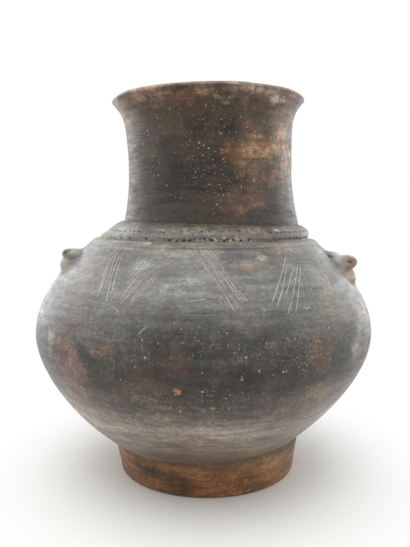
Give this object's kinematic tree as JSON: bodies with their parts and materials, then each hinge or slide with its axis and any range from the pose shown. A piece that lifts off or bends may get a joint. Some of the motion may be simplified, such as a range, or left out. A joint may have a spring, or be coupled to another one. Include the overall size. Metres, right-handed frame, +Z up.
{
  "type": "blackware vase",
  "caption": "Hand-built smoke-blackened clay vase: ring foot, round body, stepped collar, two small lobed lugs, waisted neck and rolled lip, with incised zigzag bands.",
  "frame": {"origin": "on the ground, under the middle of the body's widest line", "axes": "+Z up; the two lugs lie on the X axis, the simpler one at -X; the pictured front faces -Y"},
  "size_m": [0.2286, 0.2286, 0.2536],
  "materials": {
    "burnished_wall": "burnished, smoke-blackened clay with grey and brown clouds",
    "sooty_neck": "smoothed, sooty brown-black clay with pale temper specks",
    "worn_lip": "worn brown clay, slightly polished by handling",
    "lug_clay": "finger-pinched clay, unburnished, orange-brown on the worn tips",
    "foot_clay": "wiped brown clay, less smoked than the wall"
  },
  "bodies": {
    "root": {"base": "foot_clay", "foot_ring": "foot_clay", "lower_wall": "burnished_wall", "upper_wall": "burnished_wall", "collar_band": "burnished_wall", "neck": "sooty_neck", "lip": "worn_lip", "left_lug_pad": "lug_clay", "left_lug_upper_nub": "lug_clay", "left_lug_lower_nub": "lug_clay", "right_lug_pad": "lug_clay", "right_lug_top_nub": "lug_clay", "right_lug_upper_nub": "lug_clay", "right_lug_lower_nub": "lug_clay"}
  },
  "joints": []
}
